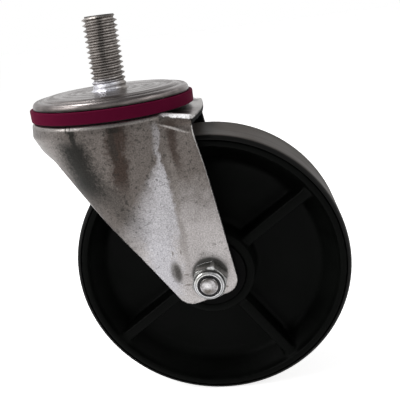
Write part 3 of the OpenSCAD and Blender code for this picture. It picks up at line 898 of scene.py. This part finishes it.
# Place and half sizes of the single dark marks round the nut, in mm
small_marks = [
    (17.4, -57, 0.3, 0.8), (20.3, -56.7, 0.3, 0.9), (21.3, -65.5, 0.9, 0.3),
    (21.5, -69.5, 1.2, 0.3), (35.2, -71.1, 0.6, 0.4),
]
mark_zones = [(patch(*mark, far_side=0.0), 0.7, (0.1, 0.085, 0.075)) for mark in small_marks]
edge_zones = [
    # painted shade in the hollow under the fold, then a painted highlight on its ridge
    (patch(24.5, -10.6, 5.5, 1.3), 0.6, brown),
    (patch(23.8, -12.4, 1, 1.6, soft=0.6, lean=-2.4), 0.7, (0.33, 0.31, 0.3)),
    # painted light on the faces that look up
    (way("Up"), 0.9, (0.29, 0.27, 0.26)),
    # painted highlight on the crown's rim under the seal
    (crown_rim_highlight, 0.45, (0.3, 0.28, 0.27)),
    # painted shadow of the seal ring on the crown
    (seal_shadow, 0.85, black),
    # painted highlight on the fold
    (fold_highlight, 0.95, (0.95, 0.94, 0.95)),
    (cut_edges, 0.7, (0.55, 0.53, 0.52)),
    # painted shade under the rear edge
    (rear_edge_shade, 0.98, (0.004, 0.004, 0.004)),
    (patch(-10.1, -8.6, 0.3, 1.1), 0.9, black),
    (patch(-8.6, -8.1, 0.2, 0.5), 0.8, black),
    # painted shade of a shallow pressed dimple
    (patch(17.9, -64.3, 2, 4, soft=0.4, lean=-0.1, far_side=0.0), 0.8, dirt_and_dimple_shade),
    (patch(18.3, -64.6, 1.1, 3, lean=-0.12, far_side=0.0), 0.85, (0.045, 0.042, 0.039)),
    # painted shadow and reflection of the nut on the leg
    (patch(0, 1.4, 6.4, 6.2, soft=0.08, about=axle), 0.85, (0.04, 0.04, 0.037)),
    # painted shade on the fork's inner faces
    (way("Inwards"), 0.985, (0.003, 0.003, 0.003)),
]
fork_zones = bell_zones + mark_zones + edge_zones
fork_zinc = plated(
    "fork_zinc", (pale_zinc, mid_zinc), 60, 2000, (0.3, 0.42), fork_zones, matt=matt_places,
)
print(fork_zinc.name, "with", len(fork_zones), "zones,", len(fork_zinc.node_tree.nodes), "nodes")

# %% [markdown]
# The disc is pressed and plated like the fork, but a little darker and warmer, with its clouds
# in rings. Its turned-down rim is painted darker, as a darker reflection, and shade is painted
# on the rim's foot, in the gap over the seal.

# %% Disc
def disc_rim_reflection(tree, where):
    """1 on the disc's turned-down rim, below its bead, where a darker reflection is painted."""
    _, _, z = xyz(tree, where)
    return remap(tree, z, -2.2 * mm, -1.4 * mm, 1.0, 0.0)


def disc_foot_shade(tree, where):
    """1 on the rim's lowest edge, where shade is painted in the gap over the seal."""
    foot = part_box("top_disc")[0].z
    _, _, z = xyz(tree, where)
    return remap(tree, z, foot + 0.3 * mm, foot + 0.6 * mm, 1.0, 0.0)


# painted darker reflection on the rim, painted shade at its foot
disc_zones = [(disc_rim_reflection, 0.75, (0.1, 0.088, 0.082)), (disc_foot_shade, 0.85, (0.02, 0.017, 0.015))]
disc_zinc = plated(
    "disc_zinc", ((0.205, 0.184, 0.18), (0.14, 0.125, 0.121)), 500, 2600, (0.27, 0.4),
    disc_zones, in_rings=True,
)
print(disc_zinc.name, "with", len(disc_zones), "zones")

# %% [markdown]
# The stem was rolled and then plated. Its thread has one dark streak, its flat end is darker,
# and a highlight is painted on the front of its neck. The race and the cup inside the head are
# painted nearly black, as shade in the gap below the seal. Washers and balls are plain steel that
# hardly shows.

# %% Stem and hidden steel
def neck_highlight(tree, where):
    """1 on the front of the stem's neck and collar, where a highlight is painted."""
    x, _, z = xyz(tree, where)
    low = remap(tree, z, 2.5 * mm, 4.6 * mm, 1.0, 0.0)
    return times(tree, low, remap(tree, x, 2 * mm, 5.5 * mm, 1.0, 0.0))


def stem_end(tree, where):
    """1 on the stem's flat end."""
    _, _, z = xyz(tree, where)
    return remap(tree, z, stem_top - 0.6 * mm, stem_top - 0.2 * mm)


stem_zones = [
    (band(1.2, 1.1, 26, 8, 4, lean=0.06), 0.6, (0.065, 0.06, 0.055)),
    (stem_end, 0.85, (0.08, 0.073, 0.068)),
    # painted highlight on the front of the neck
    (neck_highlight, 0.9, (0.6, 0.6, 0.64)),
]
stem_steel = plated(
    "stem_steel", ((0.3, 0.278, 0.262), (0.225, 0.205, 0.192)), 140, 1400, (0.42, 0.55),
    stem_zones,
)
# painted nearly black, as shade in the gap below the seal
race_steel = plated(
    "race_steel", ((0.012, 0.012, 0.011), (0.008, 0.008, 0.008)), 120, 1200, (0.4, 0.5),
)
washer_steel = plated("washer_steel", ((0.2, 0.19, 0.19), (0.14, 0.13, 0.13)), 120, 1200)
ball_steel = plated("ball_steel", ((0.6, 0.6, 0.6), (0.5, 0.5, 0.5)), 200, 2500, (0.1, 0.15))
print("steels:", [m.name for m in (stem_steel, race_steel, washer_steel, ball_steel)])

# %% [markdown]
# Nut and bolt end carry fine lines from the lathe that run round the axle. They could be cut
# as grooves, but they are thinner than a hair, so a dark line of colour is enough.

# %% Turned lines
def turned_lines(*radii):
    """Thin dark lines that run round the axle at the given radii, in mm."""
    half_line, line_fades = 0.06 * mm, 0.2 * mm

    def mask(tree, where):
        flat = add(tree, "Mapping")
        plug(tree, (-axle.x, 0, -axle.z), flat.inputs["Location"])
        plug(tree, (1, 0, 1), flat.inputs["Scale"])
        plug(tree, where, flat.inputs["Vector"])
        from_axle = add(tree, "VectorMath", operation="LENGTH")
        plug(tree, flat.outputs[0], from_axle.inputs[0])
        lines = 0.0
        for radius in radii:
            off = less(tree, from_axle.outputs["Value"], radius * mm)
            off = maths(tree, "ABSOLUTE", off)
            line = remap(tree, off, half_line, line_fades, 1.0, 0.0)
            lines = maths(tree, "MAXIMUM", lines, line)
        return lines
    return mask


# %% [markdown]
# The nut is the brightest zinc on the castor. Its flats are painted greyer, as a darker
# reflection, with painted light at the upper left, and its sloping rim is painted dark. Two
# painted highlights have a pale matt tone: one corner, and the line where the nut bears on the
# fork. A small painted glint sits on that corner.

# %% Nut
nut_foot_y = min(abs(corner.y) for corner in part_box("axle_nut"))


def nut_slope(tree, where):
    """1 on the sloping rim of the nut's hexagon."""
    _, off, _, _ = spread(tree, where)
    return within(tree, off, nut_foot_y + 4.8 * mm, nut_foot_y + 5.9 * mm, 0.1 * mm)


def nut_corner(tree, where):
    """1 on that rim at the upper corner, where a highlight is painted."""
    x, _, z = xyz(tree, where)
    across = within(tree, x, axle.x - 0.2 * mm, axle.x + 2.2 * mm, 0.3 * mm)
    upper = remap(tree, z, axle.z + 4.9 * mm, axle.z + 5.3 * mm)
    return times(tree, nut_slope(tree, where), times(tree, across, upper))


def nut_foot(tree, where):
    """1 on the thin line where the nut bears on the fork, at its upper front, with a painted
    highlight.
    """
    x, off, z, _ = spread(tree, where)
    line = remap(tree, off, nut_foot_y + 0.4 * mm, nut_foot_y + 0.55 * mm, 1.0, 0.0)
    upper = remap(tree, z, axle.z + 3.2 * mm, axle.z + 3.8 * mm)
    front = remap(tree, x, axle.x + 1.2 * mm, axle.x + 1.6 * mm, 1.0, 0.0)
    return times(tree, line, times(tree, upper, front))


def nut_glints(tree, where):
    """1 on both painted highlights of the nut."""
    return maths(tree, "MAXIMUM", nut_corner(tree, where), nut_foot(tree, where))


nut_zones = [
    # painted darker reflection on the flats, and painted light at their upper left
    (way("Sideways"), 0.88, (0.2, 0.205, 0.19)),
    (patch(-3.5, 4.5, 3.6, 3.3, soft=0.3, about=axle), 0.9, (0.45, 0.45, 0.43)),
    # the sloping rim painted dark, then painted highlights on a corner and the bearing line
    (nut_slope, 0.8, (0.14, 0.14, 0.135)),
    (nut_glints, 0.95, (0.8, 0.8, 0.8)),
    # a small painted glint on the upper corner
    (patch(1.3, 6.2, 0.7, 0.5, soft=0.4, about=axle), 0.5, (0.95, 0.95, 0.95)),
    (turned_lines(4.62, 5.35), 0.75, (0.03, 0.03, 0.03)),
]
nut_zinc = plated(
    "nut_zinc", ((0.46, 0.46, 0.47), (0.34, 0.34, 0.34)), 200, 2500, (0.18, 0.3),
    nut_zones, matt=nut_glints,
)
print(nut_zinc.name, "with", len(nut_zones), "zones")

# %% [markdown]
# The bolt's end shows inside the nut. It is darker in a ring inside its chamfer and above and
# below its middle, and lighter in the middle.

# %% Bolt
def bolt_rim(tree, where):
    """1 on the upper half of a ring just inside the bolt's chamfer."""
    _, _, z = xyz(tree, where)
    upper = remap(tree, z, axle.z - 0.5 * mm, axle.z + 0.8 * mm)
    return times(tree, turned_lines(2.75, 2.95)(tree, where), upper)


bolt_dark_tone = (0.08, 0.075, 0.07)
bolt_zones = [
    (turned_lines(2.5), 0.5, bolt_dark_tone),
    (bolt_rim, 0.8, (0.05, 0.046, 0.042)),
    (patch(-1, 2.2, 1.6, 0.7, soft=0.6, about=axle), 0.6, bolt_dark_tone),
    (patch(-0.5, -1.7, 1.8, 1, soft=0.6, about=axle), 0.9, (0.09, 0.08, 0.07)),
    (patch(-0.4, 0.3, 1.4, 1.1, soft=0.6, about=axle), 0.7, (0.6, 0.59, 0.6)),
]
bolt_zinc = plated(
    "bolt_zinc", ((0.36, 0.35, 0.36), (0.2, 0.19, 0.19)), 420, 2500, (0.2, 0.35), bolt_zones,
)
print(bolt_zinc.name, "with", len(bolt_zones), "zones")

# %% [markdown]
# Moulded plastics: nearly black nylon for the wheel, magenta for the seal, ivory for the cage.
# A plastic's own colour hardly varies. Its life comes from a fine grain and from a slow change
# of gloss. The tread has been rolled on, so fine lines run all the way round its band, and its
# shoulders stay as dark as the wheel.

# %% Plastic and rubber finishes
def moulded(name, colour, worn, rough=(0.35, 0.55), gloss=0.25, zones=()):
    """A plastic or rubber that varies slowly between its own colour and a worn one."""
    wear_scale, grain_scale = 45, 1800.0
    grain_strength, grain_height = 0.2, 0.03 * mm
    material, tree, shader, where = new_finish(name)
    wear = remap(tree, noise(tree, where, wear_scale, 3), 0.3, 0.7)
    grain = noise(tree, where, grain_scale, 2)
    own = lay_zones(tree, where, blend_colours(tree, wear, colour, worn), zones)
    plug(tree, own, shader.inputs["Base Color"])
    plug(tree, remap(tree, wear, 0.0, 1.0, *rough), shader.inputs["Roughness"])
    shader.inputs["Specular IOR Level"].default_value = gloss
    bump(tree, shader, grain, grain_strength, grain_height)
    return material


def tread_side(tree, where):
    """1 on the tread's rounded shoulders and sides, 0 on the band that rolls."""
    _, off, _, _ = spread(tree, where)
    return remap(tree, off, wheel_high.y - 2.6 * mm, wheel_high.y - 2.1 * mm)


def tread_lines(tree, where):
    """Fine lines along the tread's band, which wear has drawn all the way round it."""
    drawn_out = noise(tree, where, 1000, 2, 0.6, stretch=(0.02, 1, 0.02))
    return remap(tree, drawn_out, 0.5, 0.64)


wheel_plastic = moulded(
    "wheel_plastic", (0.0012, 0.0014, 0.0012), (0.0022, 0.0026, 0.0022), gloss=0.03,
)
tread_rubber = moulded(
    "tread_rubber", (0.05, 0.042, 0.036), (0.07, 0.06, 0.054), (0.5, 0.65), gloss=0.1,
    zones=[(tread_lines, 0.6, (0.02, 0.016, 0.014)), (tread_side, 1.0, (0.0016, 0.0016, 0.0014))],
)
seal_plastic = moulded(
    "seal_plastic", (0.086, 0.0034, 0.0205), (0.096, 0.004, 0.023), (0.6, 0.7), gloss=0.02,
)
cage_plastic = moulded("cage_plastic", (0.75, 0.68, 0.5), (0.68, 0.6, 0.42))
cap_plastic = moulded(
    "cap_plastic", (0.0012, 0.0012, 0.0012), (0.002, 0.002, 0.002), gloss=0.03,
)
insert_nylon = moulded("insert_nylon", (0.006, 0.006, 0.007), (0.012, 0.012, 0.014))
plastics = (wheel_plastic, tread_rubber, seal_plastic, cage_plastic, cap_plastic, insert_nylon)
print("plastics:", [material.name for material in plastics])

# %% [markdown]
# Every piece now gets its finish. The measured nodes keep their own mesh, and only their
# material slots change.

# %% Dress the pieces
finishes = {
    "top_disc": disc_zinc, "upper_race": race_steel, "seal_ring": seal_plastic,
    "lower_cup": race_steel, "upper_balls": ball_steel, "lower_balls": ball_steel,
    "tread": tread_rubber, "bearing_cage": cage_plastic, "bearing_rollers": ball_steel,
    "bearing_cap_near": cap_plastic, "bearing_cap_far": cap_plastic,
    "axle_sleeve": washer_steel, "side_washer_near": washer_steel,
    "side_washer_far": washer_steel, "nut_insert": insert_nylon, "threaded_stem": stem_steel,
    "fork": fork_zinc, "wheel_core": wheel_plastic, "axle_nut": nut_zinc,
    "axle_bolt": bolt_zinc,
}
for name, finish in finishes.items():
    nodes[name].data.materials.clear()
    nodes[name].data.materials.append(finish)
new_pieces = {
    "threaded_stem": stem_piece, "fork": fork_piece, "wheel_core": wheel_piece,
    "axle_nut": nut_piece, "axle_bolt": bolt_piece,
}
for name, piece in new_pieces.items():
    piece.data.materials.append(finishes[name])
print("finishes:", len(set(finishes.values())))
